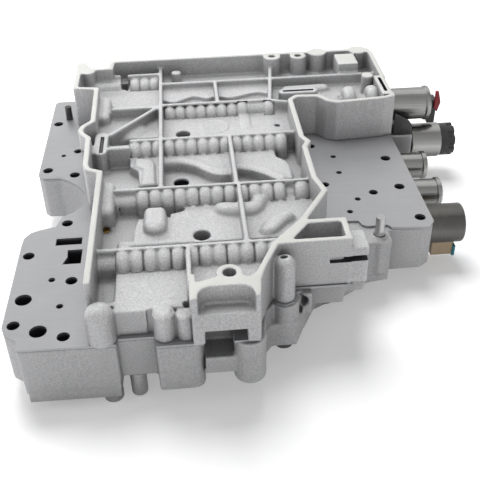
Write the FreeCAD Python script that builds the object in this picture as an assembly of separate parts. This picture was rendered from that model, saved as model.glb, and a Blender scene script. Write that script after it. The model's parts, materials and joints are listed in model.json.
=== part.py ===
import FreeCAD, Part
import math
import os

# Transmission valve body: an upper casting with open compartments, a steel
# separator plate, a lower casting with four solenoids and a bottom cover.
# Millimetres, +Z up. The origin is the rear dowel's axis where it leaves the
# plate's top face. Places are given from the plate's left edge (X) and from
# its front datum line (Y), and at() turns them into the part's own frame.

V = FreeCAD.Vector
os.makedirs("parts", exist_ok=True)

# Datum
DOWEL_X = 14.0
DOWEL_Y = 244.0

# Heights above the plate's top face
RIM_Z = 31.5
RIB_Z = 24.5
SHELF_Z = 16.0
FLOOR_Z = 9.0
ISLAND_Z = 19.5
PLATE_THICK = 1.5
LOWER_BOTTOM = -33.0
COVER_BOTTOM = -40.0
FOOT_BOTTOM = -45.0
SEAT_GAP = 0.02

# Walls
RIM_WALL = 3.7
RIB_WALL = 3.0
RIGHT_EDGE = 258.0
REAR_EDGE = 275.0
LEFT_WALL = 48.0

# Valve rows in the upper casting
VALVE_BORE_R = 4.8
VALVE_FIT = 0.03
VALVE_Z = 14.0
BOSS_R = 6.6
VALLEY_DEPTH = 1.5
CROWN_R = 9.2
CROWN_A_R = 9.6
CROWN_D_R = 7.8
END_LOBE_R = 9.4
LOBE_PITCH = 7.75
LAND_LENGTH = 7.0
NECK_R = 2.8
PLUG_LENGTH = 17.0
RETAINER_THICK = 1.6
RETAINER_INSET = 13.4
RETAINER_HALF = 5.7
RETAINER_C_HALF = 10.7
RETAINER_C_Y = 154.3
RETAINER_CLEAR = 0.1
SPRING_LENGTH = 18.0
SPRING_WALL = 0.9
SPRING_CLEAR = 0.6
ROW_A_Y = 32.2
ROW_B_Y = 94.0
ROW_C_Y = 157.0
ROW_D_Y = 210.5
ROW_D_END = 93.0

# Solenoids: 1 is in the upper casting's arm, 2 to 5 are in the lower casting
SOLENOID_Z = -16.0
S1_Z = VALVE_Z
S1_Y = ROW_D_Y
S2_Y = 206.0
S3_Y = 169.0
S4_Y = 132.0
S5_Y = 94.0
CAN_LARGE_R = 12.0
CAN_SMALL_R = 9.5
CAN_GAP = 0.2
CAN_LENGTH = 23.0
S2_CAN_R = 13.3
S2_CAN_LENGTH = 23.5
S2_BLOCK_END = 276.0
S2_BLOCK_TOP = -2.5
S2_CAP_LENGTH = 10.5
BRACKET_GAP = 6.5
S5_CAN_R = 13.0
S1_CAN_LENGTH = 30.0
S1_FACE = 260.0
S1_NOSE_TIP = 224.0
BOSS_PROUD = 1.0
BRACKET_THICK = 2.0
NOSE_R = 7.5
SLEEVE_R = 10.0
COLLAR_R = 10.8
COLLAR_Z = 19.5
NOSE_LENGTH = 22.0
NOSE_FIT = 0.05
LOWER_VALVE_R = 4.5
LOWER_VALVE_DEPTH = 50.0
LOWER_SPRING = 14.0

# Holes and dowels
BOLT_HOLE_R = 3.5
DOWEL_R = 2.5
DOWEL_HEIGHT = 10.5
FRONT_DOWEL_R = 3.0
FRONT_DOWEL_HEIGHT = 12.0
DOWEL_DEPTH = 10.0
DOWEL_STEP = 0.3
FRONT_DOWEL_X = 221.0
FRONT_DOWEL_Y = 66.0
CLAMP_R = 3.0
CLAMP_HEAD_R = 5.5
CLAMP_HEAD = 5.0
CLAMP_CLEAR = 0.3
CLAMP_SEAT_GAP = 0.05
FLOOR_HOLE_R = 5.0
POST_X = 154.5
POST_Y = 12.0
POST_R = 6.0
DOME_X = 55.0
DOME_Y = -12.0
DOME_R = 7.8
DAMPER_X = 192.5
DAMPER_Y = 223.5
DAMPER_HALF = 11.5
FLOOR_PLUG_X = 52.6
FLOOR_PLUG_Y = 74.4
FLOOR_PLUG_R = 2.5
BALL_R = 3.2
MANUAL_R = 6.0
MANUAL_Y = -9.0
MANUAL_Z = -10.0
WINDOW_LEFT = 108.0
WINDOW_RIGHT = 124.0
SILL_TOP = -13.0
MANUAL_END = 141.0
POST_BASE = -30.0


def at(x, y, z=0.0):
    return V(x - DOWEL_X, y - DOWEL_Y, z)


def block(x0, x1, y0, y1, z0, z1):
    return Part.makeBox(x1 - x0, y1 - y0, z1 - z0, at(x0, y0, z0))


def post(x, y, z0, z1, r):
    return Part.makeCylinder(r, z1 - z0, at(x, y, z0))


def bar_x(x0, x1, y, z, r):
    return Part.makeCylinder(r, x1 - x0, at(x0, y, z), V(1, 0, 0))


def bar_y(y0, y1, x, z, r):
    return Part.makeCylinder(r, y1 - y0, at(x, y0, z), V(0, 1, 0))


def prism(points, z0, z1):
    corners = [at(x, y, z0) for x, y in points]
    wire = Part.makePolygon(corners + corners[:1])
    return Part.Face(wire).extrude(V(0, 0, z1 - z0))


def inset(points, distance):
    """Moves each side of a clockwise or anticlockwise outline inwards and joins them again."""
    count = len(points)
    area = sum(points[i - 1][0] * points[i][1] - points[i][0] * points[i - 1][1]
               for i in range(count))
    turn = distance if area > 0 else -distance
    moved = []
    for i in range(count):
        (xa, ya), (xb, yb), (xc, yc) = points[i - 1], points[i], points[(i + 1) % count]
        before = math.hypot(xb - xa, yb - ya)
        after = math.hypot(xc - xb, yc - yb)
        n1 = (-(yb - ya) / before, (xb - xa) / before)
        n2 = (-(yc - yb) / after, (xc - xb) / after)
        scale = turn / (1 + n1[0] * n2[0] + n1[1] * n2[1])
        moved.append((xb + (n1[0] + n2[0]) * scale, yb + (n1[1] + n2[1]) * scale))
    return moved


def smooth_prism(curve, corners, z0, z1):
    """A prism with one curved side through the first points and straight ones through the rest."""
    spline = Part.BSplineCurve()
    spline.interpolate([at(x, y, z0) for x, y in curve])
    straight = [curve[-1]] + corners + [curve[0]]
    edges = [spline.toShape()]
    for a, b in zip(straight, straight[1:]):
        edges.append(Part.makeLine(at(a[0], a[1], z0), at(b[0], b[1], z0)))
    return Part.Face(Part.Wire(edges)).extrude(V(0, 0, z1 - z0))


def revolve_x(profile, y, z):
    """Turns a list of (x, radius) points about a line along X."""
    points = [at(x, y, z) + V(0, 0, r) for x, r in profile]
    first = at(profile[0][0], y, z)
    last = at(profile[-1][0], y, z)
    wire = Part.makePolygon([first] + points + [last, first])
    return Part.Face(wire).revolve(first, V(1, 0, 0), 360)


def slab_rib(x0, y0, x1, y1, wall, z0, z1):
    """An upright rib between two points on its centre line."""
    a = at(x0, y0, z0)
    b = at(x1, y1, z0)
    side = (b - a).cross(V(0, 0, 1))
    side.normalize()
    side = side * (wall / 2)
    wire = Part.makePolygon([a + side, b + side, b - side, a - side, a + side])
    return Part.Face(wire).extrude(V(0, 0, z1 - z0))


def fuse(shapes):
    return shapes[0].fuse(shapes[1:]).removeSplitter()


def carve(body, tools):
    return body.cut(tools).removeSplitter()


def dome_post(x, y, z0, top, r):
    """An upright column with a round top."""
    steps = 5
    points = [at(x, y, z0), at(x + r, y, z0)]
    for i in range(steps + 1):
        angle = math.pi / 2 * i / steps
        points.append(at(x + r * math.cos(angle), y, top - r + r * math.sin(angle)))
    points[-1] = at(x, y, top)
    wire = Part.makePolygon(points + points[:1])
    return Part.Face(wire).revolve(at(x, y, z0), V(0, 0, 1), 360)


def track(start, end, z0, top, r, crown=0.0):
    """A raised block with half-round ends along a line, its top edge rounded by crown."""
    (xa, ya), (xb, yb) = start, end
    length = math.hypot(xb - xa, yb - ya)
    corners = [V(0, r, 0), V(-r, 0, 0), V(0, -r, 0), V(length, -r, 0), V(length + r, 0, 0),
               V(length, r, 0)]
    edges = [Part.Arc(corners[0], corners[1], corners[2]).toShape(),
             Part.makeLine(corners[2], corners[3]),
             Part.Arc(corners[3], corners[4], corners[5]).toShape(),
             Part.makeLine(corners[5], corners[0])]
    shape = Part.Face(Part.Wire(edges)).extrude(V(0, 0, top - z0))
    if crown:
        rounded = [e for e in shape.Edges if e.BoundBox.ZMin > top - z0 - 0.01]
        shape = shape.makeFillet(crown, rounded)
    shape.rotate(V(0, 0, 0), V(0, 0, 1), math.degrees(math.atan2(yb - ya, xb - xa)))
    shape.translate(at(xa, ya, z0))
    return shape


def save(name, shape):
    shape.exportStep("parts/" + name + ".step")
    print(name, len(shape.Solids), round(shape.Volume), shape.isValid())


# Outlines

RIGHT_SIDE = [
    (152, 20), (170, 40), (188, 70), (184, 86), (184, 124), (187.5, 131), (184, 138),
    (184, 193), (188, 197), (202, 196), (208, 188), (215, 184), (250, 187), (259, 190),
    (260, 270), (258, 280), (48, 280), (47, 267),
]
LEFT_SIDE = [
    (22, 231), (38, 228), (39, 177.5), (33, 170.5), (31.3, 164), (33, 158), (37.5, 152),
    (38.3, 117), (40.3, 110), (LEFT_WALL, 106),
]
FRONT_SIDE = [
    (LEFT_WALL, -4), (62, -4), (62, -10.5), (82, -10.5), (82, -18), (96, -20), (102, -22),
    (138, -22), (139, -10), (143, 1),
]
RIM_OUTLINE = FRONT_SIDE + RIGHT_SIDE + [(34, 267), (26, 281), (22, 279)] + LEFT_SIDE
BASIN_LINE = ([(LEFT_WALL, -5), (102, -5), (102, -13), (137, -13)] + RIGHT_SIDE
              + [(22, 267)] + LEFT_SIDE)

# The plate leaves the window open and stops short of the front dowel
PLATE_FRONT = [
    (0, 76), (0, 2), (2, -3), (9, -8), (10, -16), (62, -17), (63, -13), (82, -13), (83, -20.5),
    (WINDOW_LEFT, -20.5), (WINDOW_LEFT, -4), (WINDOW_RIGHT, -4),
]
PLATE_FRONT_RIGHT = [
    (WINDOW_RIGHT, -20.5), (MANUAL_END - 3, -20.5), (MANUAL_END - 2, -6), (145, 8), (148, 10.5),
    (149.5, 7), (154.5, 4.7), (159.5, 7), (161.8, 12), (161.8, 18.8), (191.5, 18.8), (194, 42),
    (199, 62), (204, 81), (210.7, 80.3), (212, 76), (215, 74), (228, 74), (230, 71), (254, 69),
]
PLATE_BACK = [
    (RIGHT_EDGE, 75), (RIGHT_EDGE, REAR_EDGE), (2, REAR_EDGE), (0, 272),
    (0, 160), (3.5, 156), (15.4, 155.6), (21.3, 151.4), (26, 147), (30.5, 141), (34.6, 132),
    (35.8, 124), (33.5, 116), (28, 109.5), (22.5, 106), (20.3, 100), (19, 95), (9, 92),
    (4, 89.5), (0.5, 84),
]
PLATE_OUTLINE = PLATE_FRONT + PLATE_FRONT_RIGHT + PLATE_BACK
LOWER_OUTLINE = PLATE_FRONT + [
    (WINDOW_RIGHT, -13), (MANUAL_END, -13), (144, 8), (149, 19), (167, 19), (178.5, 41),
    (190, 42), (203, 50), (214, 58), (228, 60), (228, 70), (251, 70),
] + PLATE_BACK

# Valve rows: where each bore opens, where it ends and where its lobes stand
ROWS = {
    "a": dict(y=ROW_A_Y, mouth=LEFT_WALL, end=146.0, boss=62.0, left=50.0, lobes=12,
              crown=CROWN_A_R),
    "b": dict(y=ROW_B_Y, mouth=LEFT_WALL, end=160.0, boss=72.2, left=50.0, lobes=12,
              crown=CROWN_R),
    "c": dict(y=ROW_C_Y, mouth=34.0, end=165.0, boss=65.8, left=46.0, lobes=14,
              crown=CROWN_R - 0.4),
}
ROW_D_START = 90.0
ROW_D_LOBES = 7


def lobe_row(x0, count, y, crown=CROWN_R, pitch=LOBE_PITCH):
    """A chain of rounded lobes along X, with a valley each side of every crown."""
    valley = crown - VALLEY_DEPTH
    profile = []
    for i in range(count):
        start = x0 + i * pitch
        profile.append((start, valley))
        profile.append((start + pitch * 0.28, crown))
        profile.append((start + pitch * 0.72, crown))
    profile.append((x0 + count * pitch, valley))
    return revolve_x(profile, y, VALVE_Z)


def shelves():
    """The raised floors at shelf height, one for each compartment."""
    low = FLOOR_Z - 1
    return [
        prism([(62, -9), (100, -9), (100, 34), (62, 34)], low, SHELF_Z),
        prism([(70.5, 47), (176, 47), (182, 68), (182, 96), (104, 96), (101, 81),
               (92, 78), (76, 80), (73, 74), (71, 63)], low, SHELF_Z),
        prism([(66, 138), (72, 131), (73, 112), (86, 112), (86, 159), (66, 159)], low, SHELF_Z),
        smooth_prism([(86, 138.5), (102.4, 137.8), (111, 132.4), (118, 124.7), (125, 120.5),
                      (134, 121)],
                     [(134, 159), (86, 159)], low, SHELF_Z),
        smooth_prism([(137, 127), (146.4, 123.6), (154.7, 118), (163, 109)],
                     [(173.2, 110.7), (173.6, 126), (171.8, 133), (165.4, 140), (165, 159),
                      (137, 159)], low, SHELF_Z),
        block(88, 182, 158, 212, low, SHELF_Z),
        block(40, 88, 176, 280, low, SHELF_Z),
        block(24, 50, 234, 265, low, SHELF_Z),
        block(88, 257, 212, 278.5, low, SHELF_Z),
        block(62, 69, 34, 51.8, low, SHELF_Z),
    ]


def ribs():
    low = FLOOR_Z - 1
    half = RIB_WALL / 2
    right = 182.0
    parts = []
    spans = (
        (50, 160, ROW_A_Y + half), (58, right, ROW_B_Y + half), (66, right, ROW_C_Y + half),
        (88, 168, ROW_D_Y), (88, 256, 247.5),
    )
    for x0, x1, y in spans:
        parts.append(block(x0, x1, y - half, y + half, low, RIB_Z))
    across = (
        (87.5, 95, 278), (135, 95, 158), (136, 34, 95), (102.5, -10, 33), (130, 211, 247),
    )
    for x, y0, y1 in across:
        parts.append(block(x - half, x + half, y0, y1, low, RIB_Z))
    parts.append(slab_rib(52, 168, 87, 210, RIB_WALL, low, RIB_Z))
    parts.append(slab_rib(168, 210, 183, 205, RIB_WALL, low, RIB_Z))
    parts.append(slab_rib(169, 210, 177, 276, RIB_WALL, low, RIB_Z))
    parts.append(slab_rib(50, 149, 67, 149, RIB_WALL, low, RIB_Z))
    return parts


def row_castings():
    """One list of shapes for each valve row."""
    groups = []
    for row in ROWS.values():
        neck = bar_x(row["left"], row["boss"] + 1, row["y"], VALVE_Z, BOSS_R)
        web = block(row["left"], row["boss"] + 0.5, row["y"] - BOSS_R, row["y"] + 1, FLOOR_Z - 1,
                    VALVE_Z)
        groups.append([neck, web, lobe_row(row["boss"], row["lobes"], row["y"], row["crown"])])
    # Rows B and D have a thin neck and one more lobe after their chains
    b_end = ROWS["b"]["boss"] + ROWS["b"]["lobes"] * LOBE_PITCH
    groups.append([bar_x(b_end - 1, 182, ROW_B_Y, VALVE_Z, BOSS_R - 1),
                   lobe_row(171, 1, ROW_B_Y, END_LOBE_R, 9)])
    d_end = ROW_D_START + ROW_D_LOBES * LOBE_PITCH
    groups.append([lobe_row(ROW_D_START, ROW_D_LOBES, ROW_D_Y, CROWN_D_R),
                   bar_x(148, 256, ROW_D_Y, VALVE_Z, CROWN_D_R - VALLEY_DEPTH)])
    groups.append([lobe_row(d_end, 1, ROW_D_Y, END_LOBE_R),
                   lobe_row(164, 1, ROW_D_Y, END_LOBE_R)])
    # The solenoid's bore in the arm has two tall collars
    groups.append([bar_x(222, 257.5, S1_Y, S1_Z, SLEEVE_R)])
    for x0, x1 in ((224, 233.5), (242.5, 251)):
        groups.append([bar_x(x0, x1, S1_Y, COLLAR_Z, COLLAR_R),
                       block(x0, x1, S1_Y - COLLAR_R, S1_Y + COLLAR_R, FLOOR_Z - 1, COLLAR_Z)])
    return groups


def outer_shapes():
    """The lug, the trapezoid pocket, the side block and the columns round the edge."""
    lug = [(102, -22), (102, -9.6), (106, -8.4), (116, -5), (131, -4.5), (133, -6.8),
           (138.5, -2), (139.5, -10), (138, -22)]
    return [
        [prism(lug, 0, RIM_Z), post(123.5, -2, 0, RIM_Z, 7)],
        [prism([(152.5, 19.5), (193, 19.5), (193, 41), (170, 41)], 0, RIM_Z),
         block(192, 203, 20, 37.5, 0, RIM_Z - 7)],
        [dome_post(POST_X, POST_Y, 0, 28.5, POST_R), block(149, 160, 13, 21, 0, 20)],
        [dome_post(DOME_X, DOME_Y, 0, 23.5, DOME_R)],
        [post(89, -12.5, 0, SHELF_Z - 0.5, 7.3), post(99.5, -13.5, 0, 13, 6.5)],
        [post(178, 273, 0, RIM_Z, 7), post(199, 272, 0, RIM_Z, 6.5)],
        [post(215.5, 277, 0, RIM_Z, 7.4), post(249, 277.5, 0, RIM_Z, 7.4)],
    ]


def inner_shapes():
    """Bosses, tongues, pads and raised tracks inside the compartments."""
    low = FLOOR_Z - 2
    return [
        [track((46.75, 146), (46.75, 167), low, RIB_Z, 4.75)],
        [track((DAMPER_X - DAMPER_HALF + 0.5, DAMPER_Y), (DAMPER_X + DAMPER_HALF - 0.5, DAMPER_Y),
               low, RIB_Z - 0.5, 4.2)],
        [track((83.7, 62), (83.7, 79), low, 21.5, 6.9, 4)],
        [track((53.7, 79.5), (53.7, 105), low, 23, 5.3, 4.5)],
        [track((45.6, 201), (45.6, 226), low, 24, 4.8, 4)],
        [track((127, 77), (142, 75.5), low, 20.5, 5.5, 4)],
        [track((152.5, 54), (161.5, 65), low, 20, 4.4, 3.6)],
        [bar_x(26, 60, 262, VALVE_Z, 7.6)],
        [lobe_row(63, 3, 262, 7.9)],
        [post(31, 262.5, low, RIM_Z - 1.5, 6)],
        [block(34, 86, 265, 268, low, RIB_Z), block(51, 86, 206.5, 209.5, low, RIB_Z)],
        [block(228, 244.5, 250, 271, low, RIM_Z - 1.5)],
        [post(246.5, 228, low, RIM_Z - 1, 4.6)],
        [block(150, 165, 181, 191, low, SHELF_Z + 3)],
        [post(100, 267.5, low, RIB_Z, 4)],
        [smooth_prism([(90, 228), (98, 224), (106, 229), (114, 232), (121, 228), (128.7, 231)],
                      [(128.7, 246), (90, 246)], low, ISLAND_Z)],
        [smooth_prism([(131.3, 231), (142, 227), (155, 232), (171, 229)],
                      [(171, 246), (131.3, 246)], low, ISLAND_Z)],
        [track((186, 237.5), (214, 238.5), low, ISLAND_Z + 0.5, 5, 3.5)],
    ]


def upper_body():
    solid = prism(RIM_OUTLINE, 0, RIM_Z)
    hollow = prism(inset(BASIN_LINE, RIM_WALL), FLOOR_Z, RIM_Z + 1)
    open_front = block(LEFT_WALL + RIM_WALL, 102, -30, 0, SHELF_Z, RIM_Z + 1)
    body = carve(solid, [hollow, open_front])
    for group in [shelves(), ribs()] + inner_shapes() + row_castings() + outer_shapes():
        body = fuse([body] + group)
    notch = block(106.2, 135.2, -30, -12.7, 20, RIM_Z + 1)
    upright = [e for e in notch.Edges if e.BoundBox.ZLength > 5 and e.BoundBox.YMin > at(0, -15).y]
    cuts = [
        notch.makeFillet(7, upright),
        block(109, 131, -23, -4, -1, 7),
        prism([(160, 23), (189.5, 23), (189.5, 37.3), (171, 37.3)], 14, RIM_Z + 1),
        block(181, 204, 18, 32, 15.9, 18.4),
        bar_x(S1_NOSE_TIP - 1, S1_FACE + 2, S1_Y, S1_Z, NOSE_R),
        block(56, 61, 256, 270, 5, RIM_Z),
        block(255.6, 258.2, 196, 224, RIM_Z - 6.5, RIM_Z + 1),
    ]
    for name, row in ROWS.items():
        cuts.append(bar_x(row["mouth"] - 5, row["end"], row["y"], VALVE_Z, VALVE_BORE_R))
        cuts.append(retainer_plate(name, row, RETAINER_CLEAR))
    cuts.append(bar_x(ROW_D_END, S1_NOSE_TIP, ROW_D_Y, VALVE_Z, VALVE_BORE_R))
    cuts.append(damper_plate(RETAINER_CLEAR))
    cuts += [post(x, y, -1, RIM_Z + 1, FLOOR_HOLE_R) for x, y in THROUGH_HOLES]
    cuts.append(post(123.5, -2, -1, RIM_Z + 1, BOLT_HOLE_R))
    cuts.append(post(POST_X - 0.5, POST_Y + 1, 18, RIM_Z + 1, 1.8))
    cuts.append(post(178, 273, 8, RIM_Z + 1, 2.6))
    cuts.append(post(199, 272, 8, RIM_Z + 1, 2.6))
    cuts.append(post(171.8, 184.4, 5, RIM_Z, 2.0))
    cuts.append(post(FLOOR_PLUG_X, FLOOR_PLUG_Y, FLOOR_Z - 5, FLOOR_Z + 2, FLOOR_PLUG_R))
    cuts += [post(x, y, -1, 7, CLAMP_R + CLAMP_SEAT_GAP) for x, y, seat in CLAMP_PLACES]
    return carve(body, cuts)


def retainer_plate(name, row, clear):
    """The flat key that holds an end plug: from below in rows A and B, from above in row C."""
    x = row["mouth"] + RETAINER_INSET
    half = RETAINER_THICK / 2 + clear
    if name == "c":
        y0 = RETAINER_C_Y - RETAINER_C_HALF - clear
        y1 = RETAINER_C_Y + RETAINER_C_HALF + clear
        return block(x - half, x + half, y0, y1, VALVE_Z - 2 - clear, RIB_Z - 1 + 5 * clear)
    y0 = row["y"] - RETAINER_HALF - clear
    y1 = row["y"] + RETAINER_HALF + clear
    return block(x - half, x + half, y0, y1, 0.1 - 5 * clear, VALVE_Z + 2 + clear)


def damper_plate(clear):
    return block(DAMPER_X - DAMPER_HALF - clear, DAMPER_X + DAMPER_HALF + clear,
                 DAMPER_Y - RETAINER_THICK / 2 - clear, DAMPER_Y + RETAINER_THICK / 2 + clear,
                 FLOOR_Z - clear, RIB_Z - 1.5 + 15 * clear)


THROUGH_HOLES = ((111, 54), (100, 125), (103, 179))
# Each clamp bolt's place and the height of the face under its head
CLAMP_PLACES = (
    (72, 2, LOWER_BOTTOM), (123.5, 24, LOWER_BOTTOM), (POST_X, POST_Y, POST_BASE),
    (182, 33, -16.5), (30, 255, LOWER_BOTTOM), (150, 262, LOWER_BOTTOM),
    (240, 262, LOWER_BOTTOM),
)
PLATE_BOLT_HOLES = (
    (6, 236), (6, 165.5), (25.5, 157.5), (26, 98), (6, 65.5), (34, 39), (6, 3.5), (34, -8),
    (246, 155), (246.5, 117), (250.5, 80),
)
PLATE_PORTS = (
    (25, 191, 3.0), (15, 185.5, 1.75), (22.5, 41, 2.0), (8.5, 24.5, 4.75), (29.5, 17, 2.0),
    (20, -2.5, 4.75), (196, 178.5, 3.0), (209.5, 161.5, 2.0), (209.5, 139.5, 2.0),
    (197, 125, 3.0), (227.5, 112, 3.0), (215.5, 105, 2.0), (207.5, 91, 2.0),
)
PORT_SHAPES = (
    [(21, 74.5), (37, 74.5), (37, 81.5), (21, 81.5)],
    [(27, 55), (38, 55), (38, 69), (29, 69), (29.5, 62)],
)
PORT_DEPTH = 12.0
BALL_PLACES = ((75, 60), (120, 80), (150, 130), (120, 190))


def dowel(x, y, r, height):
    """A pin whose hidden shank is a little thicker than its free end."""
    shank = post(x, y, -DOWEL_DEPTH + SEAT_GAP, 0, r + DOWEL_STEP)
    return fuse([shank, post(x, y, 0, height, r)])


def dowel_holes():
    clear = DOWEL_STEP + SEAT_GAP
    return [post(DOWEL_X, DOWEL_Y, -DOWEL_DEPTH, 1, DOWEL_R + clear),
            post(FRONT_DOWEL_X, FRONT_DOWEL_Y, -DOWEL_DEPTH, 1, FRONT_DOWEL_R + clear)]


def separator_plate():
    plate = prism(PLATE_OUTLINE, -PLATE_THICK, -SEAT_GAP)
    cuts = [post(x, y, -3, 1, BOLT_HOLE_R) for x, y in PLATE_BOLT_HOLES]
    cuts += [post(x, y, -3, 1, r) for x, y, r in PLATE_PORTS]
    cuts += [prism(points, -3, 1) for points in PORT_SHAPES]
    cuts += [post(x, y, -3, 1, FLOOR_HOLE_R) for x, y in THROUGH_HOLES]
    cuts += [post(x, y, -3, 1, CLAMP_R + CLAMP_CLEAR) for x, y, seat in CLAMP_PLACES]
    cuts += dowel_holes()
    return carve(plate, cuts)


def lower_body():
    top = -PLATE_THICK - SEAT_GAP
    base = [(141, -4), (147, 3.5), (161, 3.5), (168, 19), (164, 26), (146, 22)]
    parts = [prism(LOWER_OUTLINE, LOWER_BOTTOM, top)]
    parts.append(post((WINDOW_RIGHT + MANUAL_END) / 2, -14, LOWER_BOTTOM + 2, top, 9))
    parts.append(block(WINDOW_LEFT - 1, WINDOW_RIGHT + 1, -19, -3, -21, SILL_TOP))
    parts.append(post(FRONT_DOWEL_X, FRONT_DOWEL_Y - 2, LOWER_BOTTOM + 6, top, 6.5))
    parts.append(post(FRONT_DOWEL_X, FRONT_DOWEL_Y, top - 1, -0.3, 4.8))
    parts.append(post(POST_X, POST_Y, POST_BASE + 3, top, POST_R))
    parts.append(prism(base, POST_BASE, -13))
    parts.append(block(158, 171, 14.5, 26, -17, top))
    parts.append(prism([(169.5, 22), (191, 22), (191, 46), (176, 46)], -16.5, top))
    parts.append(prism([(190, 23), (202.5, 23), (204, 38), (212, 58), (190, 44)], -9, top))
    parts.append(block(194.5, 202.8, 21, 37, -3, -SEAT_GAP))
    parts.append(block(RIGHT_EDGE - 2, S2_BLOCK_END, S2_Y - 15, S2_Y + 13, SOLENOID_Z - 13,
                       S2_BLOCK_TOP))
    for y, r in ((S5_Y, S5_CAN_R), (S4_Y, CAN_SMALL_R), (S3_Y, CAN_SMALL_R)):
        parts.append(bar_x(RIGHT_EDGE - 6, RIGHT_EDGE + BOSS_PROUD, y, SOLENOID_Z, r - 1))
    body = parts[0]
    for part in parts[1:]:
        body = fuse([body, part])
    cuts = [post(x, y, LOWER_BOTTOM - 1, 0, BOLT_HOLE_R) for x, y in PLATE_BOLT_HOLES]
    cuts += [post(x, y, LOWER_BOTTOM - 1, 0, FLOOR_HOLE_R) for x, y in THROUGH_HOLES]
    cuts += [post(x, y, LOWER_BOTTOM - 1, 0, CLAMP_R + CLAMP_CLEAR) for x, y, seat in CLAMP_PLACES]
    cuts += [prism(points, -PORT_DEPTH, 0) for points in PORT_SHAPES]
    cuts += [post(x, y, -PORT_DEPTH, 0, r) for x, y, r in PLATE_PORTS]
    cuts += [post(x, y, top - 2 * BALL_R - 0.1, 0, BALL_R + 0.3) for x, y in BALL_PLACES]
    for number, y in ((2, S2_Y), (3, S3_Y), (4, S4_Y), (5, S5_Y)):
        tip = solenoid_face(number) - NOSE_LENGTH
        cuts.append(bar_x(tip, solenoid_face(number) + 3, y, SOLENOID_Z, NOSE_R))
        cuts.append(bar_x(RIGHT_EDGE - NOSE_LENGTH - LOWER_VALVE_DEPTH, tip + 1, y, SOLENOID_Z,
                          LOWER_VALVE_R))
    cuts.append(bar_x(WINDOW_RIGHT - 1, MANUAL_END + 2, MANUAL_Y, MANUAL_Z, MANUAL_R))
    cuts.append(bar_y(10, 23, 164.5, -7, 4))
    cuts += dowel_holes()
    return carve(body, cuts)


def bottom_cover():
    outline = [(11, -15.5), (61, -16), (62, 20), (140, 24), (200, 56), (240, 90), (240, 262),
               (12, 262), (12, 170), (34, 140), (30, 110), (11, 88)]
    top = LOWER_BOTTOM - SEAT_GAP
    cover = prism(outline, COVER_BOTTOM, top)
    feet = [post(x, y, FOOT_BOTTOM, COVER_BOTTOM, 5.5) for x, y in FOOT_PLACES]
    cover = fuse([cover] + feet)
    cuts = [post(x, y, FOOT_BOTTOM - 1, 0, BOLT_HOLE_R + 3) for x, y in PLATE_BOLT_HOLES[:8]]
    cuts += [post(x, y, FOOT_BOTTOM - 1, 0, CLAMP_HEAD_R + 1) for x, y, seat in CLAMP_PLACES
             if seat == LOWER_BOTTOM]
    cuts += [post(x, y, FOOT_BOTTOM - 1, 0, FLOOR_HOLE_R) for x, y in THROUGH_HOLES]
    return carve(cover, cuts)


FOOT_PLACES = ((56, -10), (22, 20), (20, 255), (228, 245), (225, 100), (130, 130))


def spool(x0, x1, y, z, bore_r):
    """Lands that run in the bore, with necks between them."""
    land_r = bore_r - VALVE_FIT
    profile = []
    count = max(2, int((x1 - x0) / (LAND_LENGTH * 2.4)))
    pitch = (x1 - x0 - LAND_LENGTH) / count
    for i in range(count + 1):
        start = x0 + i * pitch
        profile += [(start, land_r), (start + LAND_LENGTH, land_r)]
        if i < count:
            profile += [(start + LAND_LENGTH, NECK_R), (start + pitch, NECK_R)]
    return revolve_x(profile, y, z)


def spring(x0, x1, y, z, bore_r):
    outer = bore_r - SPRING_CLEAR
    return bar_x(x0, x1, y, z, outer).cut(bar_x(x0, x1, y, z, outer - SPRING_WALL))


def row_pieces(name, row):
    """End plug, retainer, spool and spring of one row, from its mouth inwards."""
    plug_start = row["mouth"] + 1
    plug_end = plug_start + PLUG_LENGTH
    y = row["y"]
    plug = bar_x(plug_start, plug_end, y, VALVE_Z, VALVE_BORE_R - VALVE_FIT)
    plug = plug.cut(retainer_plate(name, row, RETAINER_CLEAR))
    retainer = retainer_plate(name, row, 0)
    spring_start = row["end"] - SPRING_LENGTH
    save("end_plug_" + name, plug)
    save("retainer_" + name, retainer)
    save("spool_valve_" + name, spool(plug_end + 0.1, spring_start - 0.1, y, VALVE_Z, VALVE_BORE_R))
    save("spring_" + name, spring(spring_start, row["end"] - 0.05, y, VALVE_Z, VALVE_BORE_R))


def row_d_pieces():
    start = ROW_D_END
    save("spring_d", spring(start + 0.05, start + SPRING_LENGTH, ROW_D_Y, VALVE_Z, VALVE_BORE_R))
    save("spool_valve_d", spool(start + SPRING_LENGTH + 0.1, S1_NOSE_TIP - 0.1,
                                ROW_D_Y, VALVE_Z, VALVE_BORE_R))


def lower_pieces():
    bottom = RIGHT_EDGE - NOSE_LENGTH - LOWER_VALVE_DEPTH
    for number, y in ((2, S2_Y), (3, S3_Y), (4, S4_Y), (5, S5_Y)):
        spring_end = bottom + LOWER_SPRING
        nose_tip = solenoid_face(number) - NOSE_LENGTH
        save("spring_%d" % number, spring(bottom + 0.05, spring_end, y, SOLENOID_Z, LOWER_VALVE_R))
        save("spool_valve_%d" % number, spool(spring_end + 0.1, nose_tip - 0.1, y, SOLENOID_Z,
                                              LOWER_VALVE_R))


def solenoid_face(number):
    """Where each lower solenoid's can starts, just proud of the casting."""
    return (S2_BLOCK_END if number == 2 else RIGHT_EDGE) + BOSS_PROUD


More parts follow.
